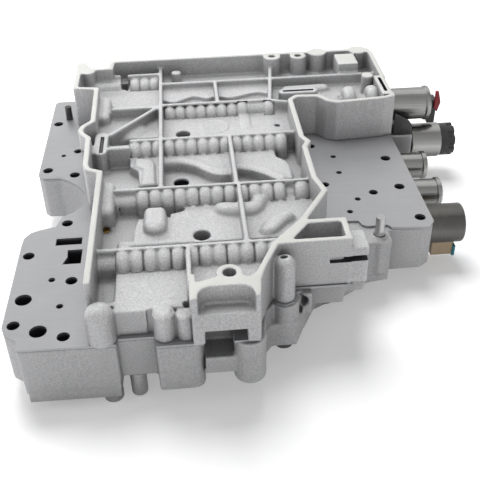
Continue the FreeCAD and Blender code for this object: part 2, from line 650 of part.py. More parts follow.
def solenoid(face, y, z, can_r, can_length, nose_length, rim):
    """A can on a nose that fits the casting's bore, turned as one profile."""
    nose_r = NOSE_R - NOSE_FIT
    start = face + CAN_GAP
    profile = [(face - nose_length, nose_r - 1), (face - nose_length + 1, nose_r),
               (start, nose_r), (start, can_r - 0.6), (start + 0.6, can_r)]
    if rim:
        profile += [(start + can_length - 4, can_r), (start + can_length - 3.4, can_r + 0.9),
                    (start + can_length - 0.8, can_r + 0.9), (start + can_length, can_r)]
    else:
        profile += [(start + can_length - 0.8, can_r), (start + can_length, can_r - 0.8)]
    return revolve_x(profile, y, z)


def solenoids():
    nose_1 = S1_FACE - S1_NOSE_TIP
    save("solenoid_1", solenoid(S1_FACE, S1_Y, S1_Z, CAN_LARGE_R, S1_CAN_LENGTH, nose_1, True))
    save("solenoid_2", solenoid(solenoid_face(2), S2_Y, SOLENOID_Z, S2_CAN_R, S2_CAN_LENGTH,
                                NOSE_LENGTH, False))
    face = solenoid_face(3)
    save("solenoid_3", solenoid(face, S3_Y, SOLENOID_Z, CAN_SMALL_R, CAN_LENGTH - 2,
                                NOSE_LENGTH, True))
    save("solenoid_4", solenoid(face, S4_Y, SOLENOID_Z, CAN_SMALL_R, CAN_LENGTH - 2,
                                NOSE_LENGTH, True))
    save("solenoid_5", solenoid(face, S5_Y, SOLENOID_Z, S5_CAN_R, CAN_LENGTH + 1,
                                NOSE_LENGTH, False))


def upright(points, y0, y1):
    """A plate that stands along X, from a list of (x, z) points."""
    corners = [at(x, y0, z) for x, z in points]
    return Part.Face(Part.makePolygon(corners + corners[:1])).extrude(V(0, y1 - y0, 0))


def connectors():
    end_1 = S1_FACE + CAN_GAP + S1_CAN_LENGTH + SEAT_GAP
    save("solenoid_1_plug", block(end_1, end_1 + 6, S1_Y - 5, S1_Y + 5.5, S1_Z - 15, S1_Z + 4))
    lock = [(end_1, 12), (end_1, 26), (end_1 + 4, 26), (end_1 + 8.5, 17), (end_1 + 5, 9)]
    save("solenoid_1_lock", upright(lock, S1_Y - 7 - SEAT_GAP, S1_Y - 5 - SEAT_GAP))
    end_2 = solenoid_face(2) + CAN_GAP + S2_CAN_LENGTH + SEAT_GAP
    cap = bar_x(end_2, end_2 + S2_CAP_LENGTH, S2_Y, SOLENOID_Z, S2_CAN_R - 0.8)
    teeth = []
    for i in range(8):
        angle = math.radians(45 * i)
        offset_y = math.cos(angle) * S2_CAN_R
        offset_z = math.sin(angle) * S2_CAN_R
        teeth.append(bar_x(end_2 + 5.5, end_2 + S2_CAP_LENGTH + 1, S2_Y + offset_y,
                           SOLENOID_Z + offset_z, 2.4))
    save("solenoid_2_cap", cap.cut(teeth))
    foot = S2_BLOCK_TOP + SEAT_GAP
    web_y = S1_Y - CAN_LARGE_R - BRACKET_GAP
    leg = block(261, 275, min(web_y, S2_Y), max(web_y + BRACKET_THICK, S2_Y), foot,
                foot + BRACKET_THICK)
    web = upright([(261, foot), (275, foot), (275, 5), (272, 9), (261, 15)], web_y,
                  web_y + BRACKET_THICK)
    save("solenoid_2_bracket", fuse([leg, web]))
    below = SOLENOID_Z - S5_CAN_R
    plug_5 = block(RIGHT_EDGE + 6, RIGHT_EDGE + 20, S5_Y - 7, S5_Y + 7, below - 8, below + 2)
    plug_5 = plug_5.cut(bar_x(RIGHT_EDGE + 5, RIGHT_EDGE + 21, S5_Y, SOLENOID_Z,
                              S5_CAN_R + SEAT_GAP))
    save("solenoid_5_plug", plug_5)
    seal = block(RIGHT_EDGE + 20 + SEAT_GAP, RIGHT_EDGE + 22, S5_Y - 8, S5_Y + 8, below - 9,
                 below - 1)
    save("solenoid_5_seal", seal)


def small_pieces():
    save("rear_dowel", dowel(DOWEL_X, DOWEL_Y, DOWEL_R, DOWEL_HEIGHT))
    save("front_dowel", dowel(FRONT_DOWEL_X, FRONT_DOWEL_Y, FRONT_DOWEL_R, FRONT_DOWEL_HEIGHT))
    bolts = []
    for x, y, seat in CLAMP_PLACES:
        shank = post(x, y, seat - 1, 6.5, CLAMP_R)
        head = post(x, y, seat - CLAMP_HEAD, seat - SEAT_GAP, CLAMP_HEAD_R)
        bolts.append(fuse([shank, head]))
    save("clamp_bolts", Part.makeCompound(bolts))
    top = -PLATE_THICK - SEAT_GAP
    balls = [Part.makeSphere(BALL_R, at(x, y, top - BALL_R - 0.05)) for x, y in BALL_PLACES]
    save("check_balls", Part.makeCompound(balls))
    save("floor_plug", post(FLOOR_PLUG_X, FLOOR_PLUG_Y, FLOOR_Z - 4.9, FLOOR_Z + 0.5,
                            FLOOR_PLUG_R - SEAT_GAP))
    save("damper_retainer", damper_plate(0))


save("upper_body", upper_body())
save("separator_plate", separator_plate())
save("lower_body", lower_body())
save("bottom_cover", bottom_cover())
for row_name, row_data in ROWS.items():
    row_pieces(row_name, row_data)
row_d_pieces()
lower_pieces()
solenoids()
connectors()
small_pieces()
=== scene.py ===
import json
import math
import time
import bmesh
import bpy
import numpy as np
import openvdb
from mathutils import Matrix, Vector


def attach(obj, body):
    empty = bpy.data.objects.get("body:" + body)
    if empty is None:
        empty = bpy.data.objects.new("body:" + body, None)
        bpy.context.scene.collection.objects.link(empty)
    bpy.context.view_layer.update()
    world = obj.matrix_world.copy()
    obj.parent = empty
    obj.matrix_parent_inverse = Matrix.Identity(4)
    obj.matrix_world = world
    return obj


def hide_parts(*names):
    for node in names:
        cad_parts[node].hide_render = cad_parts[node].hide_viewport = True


startTime = time.time()
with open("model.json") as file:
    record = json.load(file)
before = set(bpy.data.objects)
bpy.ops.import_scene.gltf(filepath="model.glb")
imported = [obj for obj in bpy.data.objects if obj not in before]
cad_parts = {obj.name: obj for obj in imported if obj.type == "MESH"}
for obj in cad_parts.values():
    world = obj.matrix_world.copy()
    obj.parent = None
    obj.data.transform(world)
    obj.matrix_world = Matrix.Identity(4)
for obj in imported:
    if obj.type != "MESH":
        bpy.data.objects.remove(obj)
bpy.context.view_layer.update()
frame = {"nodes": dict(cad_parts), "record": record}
scene = bpy.context.scene
body = "valve_body"

mm = 0.001
dowelX, dowelY = 14.0, 244.0  # the origin, from the plate's left edge and front line
rimZ, shelfZ, floorZ = 31.5, 16.0, 9.0  # heights of the rim, the front shelf and the floors
lobePitch, lobeAxisZ = 7.75, 14  # length of one lobe, height of a row's axis
solenoidY = 210.5  # row D and solenoid 1 share this line
voxel = 0.62  # mm between the samples of a casting
bandVoxels = 7  # half width of the band that the casting's distances are read in
farAway = 6.0  # mm, the distance held outside that band
triangleLimit = 190000  # a casting's
castAngle, edgeAngle, bevelAngle = 50, 32, 38  # degrees, from where an edge is sharp or bevelled


def note(text):
    print(f"{time.time() - startTime:6.1f} s  {text}", flush=True)


def at(x, y, z=0.0):
    return Vector(((x - dowelX) * mm, (y - dowelY) * mm, z * mm))


def fromFrame(values):  # flat metres in the frame, as rows of millimetres from the plate's corner
    return values.reshape(-1, 3) / mm + np.array([dowelX, dowelY, 0], np.float32)


def addNode(tree, kind, **values):
    node = tree.nodes.new(kind)
    for name, value in values.items():
        if name.startswith("in_"):
            node.inputs[name[3:].replace("_", " ")].default_value = value
        else:
            setattr(node, name, value)
    return node


def plug(tree, socket, value):
    if isinstance(value, bpy.types.NodeSocket):
        tree.links.new(value, socket)
    elif value is not None:
        socket.default_value = value


mixSockets = {"FLOAT": (2, 3, 0), "VECTOR": (4, 5, 1), "RGBA": (6, 7, 2)}  # both inputs and the output


def mix(tree, kind, factor, a, b):
    node = tree.nodes.new("ShaderNodeMix")
    node.data_type = kind
    first, second, result = mixSockets[kind]
    for place, value in ((0, factor), (first, a), (second, b)):
        plug(tree, node.inputs[place], value)
    return node.outputs[result]


def mixColors(tree, factor, a, b):
    return mix(tree, "RGBA", factor, a, b)


def mixValues(tree, factor, a, b):
    return mix(tree, "FLOAT", factor, a, b)


def mathNode(tree, operation, a, b=None, clamp=False):
    node = tree.nodes.new("ShaderNodeMath")
    node.operation = operation
    node.use_clamp = clamp
    for socket, value in zip(node.inputs, (a, b)):
        plug(tree, socket, value)
    return node.outputs[0]


def newGroup(name, inputs, outputs):
    tree = bpy.data.node_groups.new(name, "ShaderNodeTree")
    for label, kind, default in inputs:
        socket = tree.interface.new_socket(name=label, in_out="INPUT", socket_type=kind)
        if default is not None:
            socket.default_value = default
    for label, kind in outputs:
        tree.interface.new_socket(name=label, in_out="OUTPUT", socket_type=kind)
    return tree, tree.nodes.new("NodeGroupInput"), tree.nodes.new("NodeGroupOutput")


def makeGrainGroup():
    tree, start, end = newGroup(
        "castGrain",
        [("Fine Scale", "NodeSocketFloat", 900.0), ("Strength", "NodeSocketFloat", 0.5)],
        [("Mottle", "NodeSocketFloat"), ("Normal", "NodeSocketVector")],
    )
    link = tree.links.new
    coords = tree.nodes.new("ShaderNodeTexCoord")
    fine = addNode(tree, "ShaderNodeTexNoise", in_Detail=3.0, in_Roughness=0.65)
    link(coords.outputs["Object"], fine.inputs["Vector"])
    link(start.outputs["Fine Scale"], fine.inputs["Scale"])
    coarse = addNode(tree, "ShaderNodeTexNoise", in_Scale=260.0, in_Detail=2.0)
    link(coords.outputs["Object"], coarse.inputs["Vector"])
    broad = addNode(tree, "ShaderNodeTexNoise", in_Scale=22.0, in_Detail=3.0)
    link(coords.outputs["Object"], broad.inputs["Vector"])
    coarseShare, speckShare, broadShare = 0.45, 0.6, 0.4  # of the bump's height, and of the mottling
    lumps = mathNode(tree, "MULTIPLY", coarse.outputs[0], coarseShare)
    height = mathNode(tree, "ADD", lumps, fine.outputs[0])
    speck = addNode(tree, "ShaderNodeMapRange", in_From_Min=0.34, in_From_Max=0.66)
    link(fine.outputs[0], speck.inputs["Value"])
    bump = addNode(tree, "ShaderNodeBump", in_Distance=0.0006)
    link(start.outputs["Strength"], bump.inputs["Strength"])
    link(height, bump.inputs["Height"])
    mottle = mathNode(tree, "ADD", mathNode(tree, "MULTIPLY", speck.outputs[0], speckShare),
                      mathNode(tree, "MULTIPLY", broad.outputs[0], broadShare))
    link(mottle, end.inputs["Mottle"])
    link(bump.outputs[0], end.inputs["Normal"])
    return tree


def makeScuffGroup():
    tree, start, end = newGroup(
        "scuffs",
        [("Scale", "NodeSocketFloat", 60.0), ("Stretch", "NodeSocketVector", None),
         ("Amount", "NodeSocketFloat", 0.5)],
        [("Marks", "NodeSocketFloat"), ("Cloud", "NodeSocketFloat")],
    )
    link = tree.links.new
    coords = tree.nodes.new("ShaderNodeTexCoord")
    scaled = addNode(tree, "ShaderNodeVectorMath", operation="MULTIPLY")
    link(coords.outputs["Object"], scaled.inputs[0])
    link(start.outputs["Stretch"], scaled.inputs[1])
    lines = addNode(tree, "ShaderNodeTexNoise", in_Detail=5.0, in_Roughness=0.7)
    link(scaled.outputs[0], lines.inputs["Vector"])
    link(start.outputs["Scale"], lines.inputs["Scale"])
    cloud = addNode(tree, "ShaderNodeTexNoise", in_Scale=30.0, in_Detail=4.0)
    link(coords.outputs["Object"], cloud.inputs["Vector"])
    marks = addNode(tree, "ShaderNodeMapRange", in_From_Min=0.35, in_From_Max=0.75)
    link(lines.outputs[0], marks.inputs["Value"])
    link(mathNode(tree, "MULTIPLY", marks.outputs[0], start.outputs["Amount"]), end.inputs["Marks"])
    link(cloud.outputs[0], end.inputs["Cloud"])
    return tree


grainGroup = makeGrainGroup()
scuffGroup = makeScuffGroup()


def newMaterial(name):
    material = bpy.data.materials.new(name)
    material.use_nodes = True
    tree = material.node_tree
    return material, tree, tree.nodes["Principled BSDF"]


def useGroup(tree, group, **values):
    node = tree.nodes.new("ShaderNodeGroup")
    node.node_tree = group
    for name, value in values.items():
        node.inputs[name.replace("_", " ")].default_value = value
    return node


def grey(level):
    return (level, level, level, 1)


def castMaterial(name, spec):
    material, tree, shader = newMaterial(name)
    link = tree.links.new
    grain = useGroup(tree, grainGroup, Fine_Scale=spec["grain"], Strength=spec["bump"])
    geometry = tree.nodes.new("ShaderNodeNewGeometry")
    # lighter on sharp edges, as worn there, and darker in creases, which is painted shade
    edge = addNode(tree, "ShaderNodeMapRange", in_From_Min=0.44, in_From_Max=0.56)
    link(geometry.outputs["Pointiness"], edge.inputs["Value"])
    mottleShare, edgeShare = 0.65, 0.4
    tone = mathNode(tree, "ADD", mathNode(tree, "MULTIPLY", grain.outputs["Mottle"], mottleShare),
                    mathNode(tree, "MULTIPLY", edge.outputs[0], edgeShare), clamp=True)
    color = mixColors(tree, tone, spec["dark"], spec["light"])
    # painted shade: the ambient occlusion node darkens creases and recesses towards a near-black colour
    hollow = addNode(tree, "ShaderNodeAmbientOcclusion", samples=6, in_Distance=0.016)
    exposed = mathNode(tree, "POWER", hollow.outputs["AO"], 1.3)
    creaseShadeColor = (0.03, 0.03, 0.032, 1)  # painted shade in the creases, laid on where ambient occlusion finds them
    color = mixColors(tree, mixValues(tree, exposed, spec["creaseShade"], 0.0), color, creaseShadeColor)
    rough = mixValues(tree, tone, spec["rough"] + 0.08, spec["rough"] - 0.05)
    normal = grain.outputs["Normal"]
    if "milled" in spec:  # the height of a machined face, smoother than the cast ones
        coords = tree.nodes.new("ShaderNodeTexCoord")
        parts = tree.nodes.new("ShaderNodeSeparateXYZ")
        link(coords.outputs["Object"], parts.inputs[0])
        scuff = useGroup(tree, scuffGroup, Scale=70.0, Stretch=(1.0, 7.0, 1.0), Amount=0.5)
        faceColor = mixColors(tree, scuff.outputs["Cloud"], spec["faceDark"], spec["faceLight"])
        up = tree.nodes.new("ShaderNodeSeparateXYZ")
        link(geometry.outputs["True Normal"], up.inputs[0])
        levelLimit, nearness = 0.93, 0.00012  # upright part of a level face's normal, m from its height
        flat = mathNode(tree, "GREATER_THAN", mathNode(tree, "ABSOLUTE", up.outputs[2]), levelLimit)
        away = mathNode(tree, "ABSOLUTE", mathNode(tree, "SUBTRACT", parts.outputs[2], spec["milled"] * mm))
        mask = mathNode(tree, "MULTIPLY", mathNode(tree, "LESS_THAN", away, nearness), flat)
        color = mixColors(tree, mask, color, faceColor)
        rough = mixValues(tree, mask, rough, mixValues(tree, scuff.outputs["Marks"], 0.5, 0.42))
        soft = useGroup(tree, grainGroup, Fine_Scale=1400.0, Strength=0.1)
        normal = mix(tree, "VECTOR", mask, normal, soft.outputs["Normal"])
    link(color, shader.inputs["Base Color"])
    link(rough, shader.inputs["Roughness"])
    link(normal, shader.inputs["Normal"])
    shader.inputs["Metallic"].default_value = spec["metallic"]
    return material


def paintedReflection(tree):  # painted reflection: light and dark bands along a can, as a studio's walls would mirror in it
    geometry = tree.nodes.new("ShaderNodeNewGeometry")
    parts = tree.nodes.new("ShaderNodeSeparateXYZ")
    tree.links.new(geometry.outputs["Normal"], parts.inputs[0])
    turn = mathNode(tree, "ARCTAN2", parts.outputs[2], mathNode(tree, "MULTIPLY", parts.outputs[1], -1.0))
    tone = addNode(tree, "ShaderNodeMapRange", in_From_Min=-1.2, in_From_Max=2.6)
    tree.links.new(turn, tone.inputs["Value"])
    ramp = tree.nodes.new("ShaderNodeValToRGB")
    tree.links.new(tone.outputs[0], ramp.inputs[0])
    bands = ((0.0, 0.25), (0.26, 0.75), (0.36, 1.0), (0.46, 0.55), (0.56, 0.35), (0.62, 0.9), (0.68, 1.0),
             (0.76, 0.5), (1.0, 0.35))  # place round the can, from low front to high back, and tone
    while len(ramp.color_ramp.elements) < len(bands):
        ramp.color_ramp.elements.new(0.5)
    for element, (place, level) in zip(ramp.color_ramp.elements, bands):
        element.position = place
        element.color = grey(level)
    return ramp.outputs[0]


def metalMaterial(name, spec):
    material, tree, shader = newMaterial(name)
    link = tree.links.new
    stretch = spec.get("stretch", (1.0, 1.0, 1.0))
    scuff = useGroup(tree, scuffGroup, Scale=spec["scale"], Stretch=stretch, Amount=spec["marks"])
    base = mixColors(tree, scuff.outputs["Cloud"], spec["dark"], spec["light"])
    color = mixColors(tree, scuff.outputs["Marks"], base, spec["mark"])
    if spec.get("reflectionBands"):
        # painted reflection: bands that darken the can's colour by the turn of its normal
        color = mixColors(tree, paintedReflection(tree), grey(0.03), color)
    rough = mixValues(tree, scuff.outputs["Marks"], spec["rough"], spec["rough"] + spec["spread"])
    bump = addNode(tree, "ShaderNodeBump", in_Distance=0.00005, in_Strength=spec["bump"])
    link(scuff.outputs["Marks"], bump.inputs["Height"])
    link(color, shader.inputs["Base Color"])
    link(rough, shader.inputs["Roughness"])
    link(bump.outputs[0], shader.inputs["Normal"])
    shader.inputs["Metallic"].default_value = spec["metallic"]
    return material


castSpecs = {  # colours of the grain's hollows and tips, its scale, and how dark the painted shade in the creases gets
    "castUpper": dict(dark=(0.27, 0.272, 0.278, 1), light=(0.76, 0.76, 0.765, 1), rough=0.42, grain=1100.0,
                      bump=0.6, metallic=0.35, creaseShade=0.45, milled=rimZ,
                      faceDark=(0.50, 0.50, 0.475, 1), faceLight=(0.66, 0.66, 0.63, 1)),
    "castLower": dict(dark=(0.26, 0.262, 0.268, 1), light=(0.62, 0.62, 0.625, 1), rough=0.45, grain=1000.0,
                      bump=0.6, metallic=0.35, creaseShade=0.6),
}
metalSpecs = {  # colours under the marks and of them, their scale, stretch, share and roughness
    "plateSteel": dict(dark=(0.34, 0.342, 0.352, 1), light=(0.41, 0.412, 0.423, 1), mark=(0.50, 0.50, 0.51, 1),
                       scale=55.0, stretch=(1.0, 5.0, 1.0), marks=0.22, rough=0.42, spread=0.1, bump=0.06,
                       metallic=0.6),
    "zincCan": dict(dark=(0.34, 0.34, 0.33, 1), light=(0.48, 0.48, 0.465, 1), mark=(0.25, 0.25, 0.24, 1),
                    scale=90.0, stretch=(6.0, 1.0, 1.0), marks=0.12, rough=0.26, spread=0.1, bump=0.05,
                    metallic=0.9, reflectionBands=True),
    "dullCan": dict(dark=(0.11, 0.105, 0.10, 1), light=(0.19, 0.185, 0.17, 1), mark=(0.07, 0.065, 0.06, 1),
                    scale=150.0, stretch=(6.0, 1.0, 1.0), marks=0.35, rough=0.36, spread=0.2, bump=0.12,
                    metallic=0.85, reflectionBands=True),
    "valveSteel": dict(dark=grey(0.42), light=grey(0.56), mark=grey(0.3), scale=200.0, stretch=(8.0, 1.0, 1.0),
                       marks=0.3, rough=0.28, spread=0.15, bump=0.1, metallic=1.0),
    "darkSteel": dict(dark=(0.05, 0.05, 0.052, 1), light=grey(0.1), mark=grey(0.2), scale=220.0, marks=0.35,
                      rough=0.4, spread=0.2, bump=0.2, metallic=0.8),
    # painted shade for the insides of holes and slots
    "paintedHoleShade": dict(dark=(0.004, 0.004, 0.006, 1), light=(0.008, 0.008, 0.012, 1),
                     mark=(0.012, 0.012, 0.014, 1), scale=200.0, marks=0.3, rough=0.7, spread=0.1, bump=0.1,
                     metallic=0.0),
    "blackPlastic": dict(dark=(0.012, 0.012, 0.013, 1), light=(0.022, 0.022, 0.024, 1), mark=grey(0.05),
                         scale=300.0, marks=0.3, rough=0.42, spread=0.15, bump=0.1, metallic=0.0),
    "redPlastic": dict(dark=(0.22, 0.004, 0.012, 1), light=(0.36, 0.008, 0.02, 1), mark=(0.42, 0.03, 0.04, 1),
                       scale=300.0, marks=0.3, rough=0.4, spread=0.15, bump=0.1, metallic=0.0),
    "palePlastic": dict(dark=(0.46, 0.34, 0.22, 1), light=(0.6, 0.46, 0.31, 1), mark=(0.36, 0.27, 0.18, 1),
                        scale=240.0, marks=0.3, rough=0.45, spread=0.1, bump=0.1, metallic=0.0),
    "blueRubber": dict(dark=(0.02, 0.16, 0.22, 1), light=(0.04, 0.26, 0.34, 1), mark=(0.1, 0.36, 0.42, 1),
                       scale=240.0, marks=0.3, rough=0.6, spread=0.1, bump=0.2, metallic=0.0),
    "brass": dict(dark=(0.42, 0.26, 0.08, 1), light=(0.62, 0.42, 0.16, 1), mark=(0.3, 0.18, 0.06, 1),
                  scale=260.0, marks=0.4, rough=0.3, spread=0.2, bump=0.2, metallic=1.0),
    "springSteel": dict(dark=(0.2, 0.2, 0.21, 1), light=(0.3, 0.3, 0.31, 1), mark=grey(0.4), scale=260.0,
                        marks=0.4, rough=0.35, spread=0.15, bump=0.1, metallic=1.0),
}
materials = {name: castMaterial(name, spec) for name, spec in castSpecs.items()}
materials.update({name: metalMaterial(name, spec) for name, spec in metalSpecs.items()})
note("materials made")


class Field:  # distances to a casting's skin on a grid, in millimetres, negative inside it
    def __init__(self, low, high):
        self.low = np.array([round(v / voxel) for v in low])
        self.high = np.array([round(v / voxel) for v in high])
        self.shape = self.high - self.low + 1
        self.values = np.full(self.shape, farAway, np.float32)
        self.axes = [(np.arange(a, b + 1) * voxel).astype(np.float32) for a, b in zip(self.low, self.high)]

    def load(self, name):
        mesh = frame["nodes"][name].data
        points = np.zeros(len(mesh.vertices) * 3, np.float32)
        mesh.vertices.foreach_get("co", points)
        points = fromFrame(points)
        mesh.calc_loop_triangles()
        triangles = np.zeros(len(mesh.loop_triangles) * 3, np.int32)
        mesh.loop_triangles.foreach_get("vertices", triangles)
        transform = openvdb.createLinearTransform(voxelSize=voxel)
        grid = openvdb.FloatGrid.createLevelSetFromPolygons(
            points.astype(float), triangles=triangles.reshape(-1, 3).astype(np.uint32),
            transform=transform, halfWidth=bandVoxels)
        grid.copyToArray(self.values, ijk=tuple(int(v) for v in self.low))

    def window(self, low, high):  # the grid's part between two corners, and its coordinates
        spans = []
        for axis in range(3):
            a = int(math.floor(low[axis] / voxel)) - self.low[axis]
            b = int(math.ceil(high[axis] / voxel)) - self.low[axis] + 1
            spans.append(slice(max(0, a), max(0, min(int(self.shape[axis]), b))))
        grids = [self.axes[i][spans[i]].reshape([-1 if i == j else 1 for j in range(3)]) for i in range(3)]
        return tuple(spans), grids

    def join(self, low, high, shape, blend, sign):  # sign is 1 to add the shape, -1 to cut it away
        spans, (x, y, z) = self.window(low, high)
        part = self.values[spans]
        distance = sign * shape(x, y, z)
        if blend:
            h = np.clip(0.5 + sign * 0.5 * (part - distance) / blend, 0, 1)
            self.values[spans] = part * (1 - h) + distance * h - sign * blend * h * (1 - h)
        else:
            self.values[spans] = (np.minimum if sign > 0 else np.maximum)(part, distance)

    def add(self, low, high, shape, blend=0.0):
        self.join(low, high, shape, blend, 1)

    def cut(self, low, high, shape, blend=0.0):
        self.join(low, high, shape, blend, -1)

    def extend(self, z, upward):  # repeats one layer to the grid's end, so that an edge keeps its shape
        k = int(round(z / voxel)) - int(self.low[2])
        if upward:
            self.values[:, :, k + 1:] = self.values[:, :, k:k + 1]
        else:
            self.values[:, :, :k] = self.values[:, :, k:k + 1]

    def soften(self, sigma):  # rounds the edges by a blur
        reachSigmas = 2.5
        radius = int(math.ceil(reachSigmas * sigma / voxel))
        weights = np.exp(-0.5 * (np.arange(-radius, radius + 1) * voxel / sigma) ** 2)
        weights = (weights / weights.sum()).astype(np.float32)
        for axis in range(3):
            padding = [(radius, radius) if i == axis else (0, 0) for i in range(3)]
            padded = np.pad(self.values, padding, mode="edge")
            total = np.zeros_like(self.values)
            for i, weight in enumerate(weights):
                cut = [slice(None)] * 3
                cut[axis] = slice(i, i + self.shape[axis])
                total += weight * padded[tuple(cut)]
            self.values = total

    def clip(self, low=None, high=None):
        z = self.axes[2].reshape(1, 1, -1)
        if high is not None:
            self.values = np.maximum(self.values, z - high)
        if low is not None:
            self.values = np.maximum(self.values, low - z)

    def mesh(self, name):
        grid = openvdb.FloatGrid(farAway)
        grid.copyFromArray(np.ascontiguousarray(self.values), ijk=tuple(int(v) for v in self.low))
        grid.transform = openvdb.createLinearTransform(voxelSize=voxel)
        points, triangles, quads = grid.convertToPolygons(0.0, 0.0)  # at the skin, all of the same size
        points = (np.asarray(points) - np.array([dowelX, dowelY, 0])) * mm
        mesh = bpy.data.meshes.new(name)
        loops = np.concatenate([triangles.ravel(), quads.ravel()]).astype(np.int32)
        sizes = np.concatenate([np.full(len(triangles), 3), np.full(len(quads), 4)]).astype(np.int32)
        starts = np.concatenate([[0], np.cumsum(sizes)[:-1]]).astype(np.int32)
        mesh.vertices.add(len(points))
        mesh.vertices.foreach_set("co", points.astype(np.float32).ravel())
        mesh.loops.add(len(loops))
        mesh.loops.foreach_set("vertex_index", loops)
        mesh.polygons.add(len(sizes))
        mesh.polygons.foreach_set("loop_start", starts)
        mesh.update(calc_edges=True)
        mesh.validate()
        made = bpy.data.objects.new(name, mesh)
        scene.collection.objects.link(made)
        return made


def roundOff(edge, *sides):  # distance to the form that these sides bound, with rounded edges
    outside = sum(np.maximum(side, 0) ** 2 for side in sides)
    inside = sides[0]
    for side in sides[1:]:
        inside = np.maximum(inside, side)
    return np.sqrt(outside) + np.minimum(inside, 0) - edge


def between(value, low, high, edge):
    return np.abs(value - (low + high) / 2) - ((high - low) / 2 - edge)


def column(cx, cy, low, high, r, edge):  # upright round bar
    def distance(x, y, z):
        side = np.sqrt((x - cx) ** 2 + (y - cy) ** 2) - (r - edge)
        return roundOff(edge, side, between(z, low, high, edge))
    return distance


def slab(x0, x1, y0, y1, z0, z1, edge):
    def distance(x, y, z):
        return roundOff(edge, between(x, x0, x1, edge), between(y, y0, y1, edge), between(z, z0, z1, edge))
    return distance


def ridge(points, z0, z1, edge):  # upright form over a closed outline
    def distance(x, y, z):
        best, inside = None, None
        for (ax, ay), (bx, by) in zip(points, points[1:] + points[:1]):
            alongX, alongY = bx - ax, by - ay
            t = np.clip(((x - ax) * alongX + (y - ay) * alongY) / (alongX ** 2 + alongY ** 2), 0, 1)
            away = (x - ax - t * alongX) ** 2 + (y - ay - t * alongY) ** 2
            crosses = ((ay > y) != (by > y)) & (x < alongX * (y - ay) / (alongY or 1e-9) + ax)
            best = away if best is None else np.minimum(best, away)
            inside = crosses if inside is None else inside ^ crosses
        side = np.where(inside, -1, 1) * np.sqrt(best) + edge
        return roundOff(edge, side, between(z, z0, z1, edge))
    return distance


def loaves(x0, count, pitch, cy, cz, crown, valley):  # a row of lobes along X, with straight sides below
    squareness = 0.8

    def distance(x, y, z):
        u = (x - x0) / pitch
        local = u - np.clip(np.floor(u), 0, count - 1) - 0.5
        r = valley + (crown - valley) * np.sqrt(np.clip(1 - (local * 2) ** 2, 0, 1)) ** squareness
        arch = np.sqrt((y - cy) ** 2 + np.maximum(z - cz, 0) ** 2) - r
        ends = np.maximum(x0 - x, x - (x0 + count * pitch))
        return np.maximum(arch, ends)
    return distance


def pipe(a, b, r):  # a round bar from a to b, with straight sides below it
    a, b = np.array(a, float), np.array(b, float)

    def distance(x, y, z):
        d = b - a
        flat = d[:2]
        t = (x - a[0]) * d[0] + (y - a[1]) * d[1]
        t = np.clip(t / float(flat @ flat), 0, 1)
        dz = np.maximum(z - (a[2] + t * d[2]), 0)
        away = (x - a[0] - t * d[0]) ** 2 + (y - a[1] - t * d[1]) ** 2 + dz ** 2
        return np.sqrt(away) - r
    return distance


def pathPipe(points, r):  # bars joined along a line
    parts = [pipe(a, b, r) for a, b in zip(points, points[1:])]

    def distance(x, y, z):
        best = parts[0](x, y, z)
        for part in parts[1:]:
            best = np.minimum(best, part(x, y, z))
        return best
    return distance


def reach(points, margin):  # low and high corners round the points
    low = [min(values) - margin for values in zip(*points)]
    high = [max(values) + margin for values in zip(*points)]
    return low, high


def evaluatedMesh(made):
    bpy.context.view_layer.update()
    return bpy.data.meshes.new_from_object(made.evaluated_get(bpy.context.evaluated_depsgraph_get()))


def shadeSmooth(mesh, degrees):
    mesh.polygons.foreach_set("use_smooth", np.full(len(mesh.polygons), True))
    mesh.set_sharp_from_angle(angle=math.radians(degrees))


def bevelEdges(made, width, segments):
    shadeSmooth(made.data, edgeAngle)
    modifier = made.modifiers.new("edges", "BEVEL")
    modifier.width = width * mm
    modifier.segments = segments
    modifier.limit_method = "ANGLE"
    modifier.angle_limit = math.radians(bevelAngle)
    modifier.harden_normals = True
    mesh = evaluatedMesh(made)
    made.modifiers.clear()
    made.data = mesh


def finishCasting(made, material, node):
    mesh = made.data
    mesh.materials.clear()
    mesh.materials.append(materials[material])
    shadeSmooth(mesh, castAngle)
    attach(made, body)
    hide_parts(node)


